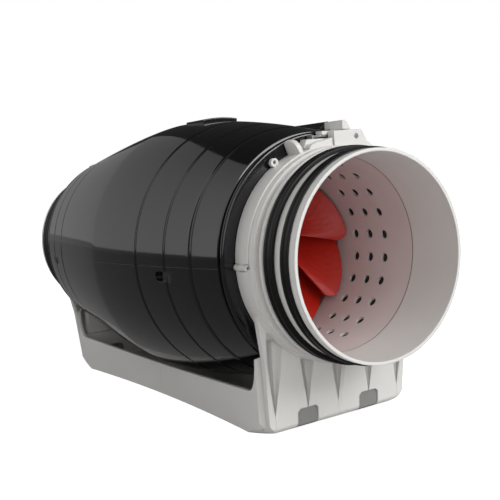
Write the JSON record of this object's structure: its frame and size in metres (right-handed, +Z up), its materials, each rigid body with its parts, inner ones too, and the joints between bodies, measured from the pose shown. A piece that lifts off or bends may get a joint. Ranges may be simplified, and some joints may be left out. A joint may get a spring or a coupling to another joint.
{
  "type": "inline duct fan",
  "caption": "Silenced mixed-flow inline duct fan: barrel-shaped body held in a moulded base between two round spigots with lip seals, clamp rings and latches.",
  "frame": {"origin": "centre of the base's underside, under the middle of the duct axis", "axes": "+Y along the duct axis, away from the inlet mouth (which faces -Y); +Z up from the mounting surface; +X to the side that carries the terminal box"},
  "size_m": [0.2119, 0.4, 0.1988],
  "materials": {
    "support_plastic": "fine-grained light grey moulded ABS",
    "pad_plastic": "mid-grey moulded foot pad",
    "seal_rubber": "black elastomer lip seal",
    "body_black": "high-gloss black injection-moulded shell",
    "sound_lining": "mineral wool absorber",
    "liner_plastic": "perforated grey liner",
    "casing_plastic": "grey moulded fan casing",
    "impeller_red": "semi-gloss red moulded impeller",
    "steel": "zinc-plated steel",
    "motor_aluminium": "die-cast aluminium",
    "lamination_steel": "stacked lamination steel",
    "winding_copper": "enamelled copper winding",
    "cable_black": "black cable sheath",
    "terminal_ivory": "ivory terminal strip",
    "gland_plastic": "dark grey nylon gland"
  },
  "bodies": {
    "housing": {"support_front": "support_plastic", "support_rear": "support_plastic", "joining_plate": "support_plastic", "joining_screws": "steel", "foot_pads": "pad_plastic", "seal_front_outer": "seal_rubber", "seal_front_inner": "seal_rubber", "seal_rear_outer": "seal_rubber", "seal_rear_inner": "seal_rubber", "gasket_front": "seal_rubber", "gasket_rear": "seal_rubber", "clamp_hinge_pins": "steel", "shell_upper": "body_black", "shell_lower": "body_black", "shell_screws": "steel", "lining_upper": "sound_lining", "lining_lower": "sound_lining", "liner_front": "liner_plastic", "liner_rear": "liner_plastic", "impeller_casing": "casing_plastic", "stator_housing": "casing_plastic", "motor_hub": "casing_plastic", "outlet_cone": "casing_plastic", "casing_screws": "steel", "tail_cone": "casing_plastic", "motor_front_shield": "motor_aluminium", "motor_rear_shield": "motor_aluminium", "motor_core": "lamination_steel", "motor_windings": "winding_copper", "motor_bolts": "steel", "bearing_front": "steel", "bearing_rear": "steel", "lead_conduit": "casing_plastic", "motor_lead": "cable_black", "terminal_base": "body_black", "terminal_cover": "body_black", "terminal_cover_screws": "steel", "terminal_base_screws": "steel", "terminal_block": "terminal_ivory", "run_capacitor": "motor_aluminium", "cable_gland": "gland_plastic", "gland_nut": "gland_plastic"},
    "rotor": {"motor_shaft": "steel", "motor_rotor": "lamination_steel", "impeller": "impeller_red", "impeller_nut": "steel"},
    "clamp_front_left": {"clamp_front_left": "support_plastic"},
    "clamp_front_right": {"clamp_front_right": "support_plastic", "latch_pin_front": "steel"},
    "clamp_rear_left": {"clamp_rear_left": "support_plastic"},
    "clamp_rear_right": {"clamp_rear_right": "support_plastic", "latch_pin_rear": "steel"},
    "latch_front": {"latch_front": "support_plastic", "latch_hook_front": "steel"},
    "latch_rear": {"latch_rear": "support_plastic", "latch_hook_rear": "steel"}
  },
  "joints": [
    {"name": "impeller_spin", "type": "hinge", "parent": "housing", "child": "rotor", "pos_m": [0, 0, 0.105], "axis": [0, 1, 0], "continuous": true},
    {"name": "clamp_front_left_hinge", "type": "hinge", "parent": "housing", "child": "clamp_front_left", "pos_m": [-0.06535, -0.1538, 0.105], "axis": [0, -1, 0], "range_deg": [0, 12.5]},
    {"name": "clamp_front_right_hinge", "type": "hinge", "parent": "housing", "child": "clamp_front_right", "pos_m": [0.06535, -0.1538, 0.105], "axis": [0, 1, 0], "range_deg": [0, 12.5]},
    {"name": "latch_front_lever", "type": "hinge", "parent": "clamp_front_right", "child": "latch_front", "pos_m": [0.02, -0.1538, 0.175], "axis": [0, 1, 0], "range_deg": [0, 95]},
    {"name": "clamp_rear_left_hinge", "type": "hinge", "parent": "housing", "child": "clamp_rear_left", "pos_m": [-0.06535, 0.1538, 0.105], "axis": [0, -1, 0], "range_deg": [0, 12.5]},
    {"name": "clamp_rear_right_hinge", "type": "hinge", "parent": "housing", "child": "clamp_rear_right", "pos_m": [0.06535, 0.1538, 0.105], "axis": [0, 1, 0], "range_deg": [0, 12.5]},
    {"name": "latch_rear_lever", "type": "hinge", "parent": "clamp_rear_right", "child": "latch_rear", "pos_m": [0.02, 0.1538, 0.175], "axis": [0, 1, 0], "range_deg": [0, 95]}
  ],
  "couplings": [
    {"joint": "clamp_front_left_hinge", "follows": "latch_front_lever", "ratio": 0.13},
    {"joint": "clamp_front_right_hinge", "follows": "latch_front_lever", "ratio": 0.13},
    {"joint": "clamp_rear_left_hinge", "follows": "latch_rear_lever", "ratio": 0.13},
    {"joint": "clamp_rear_right_hinge", "follows": "latch_rear_lever", "ratio": 0.13}
  ]
}
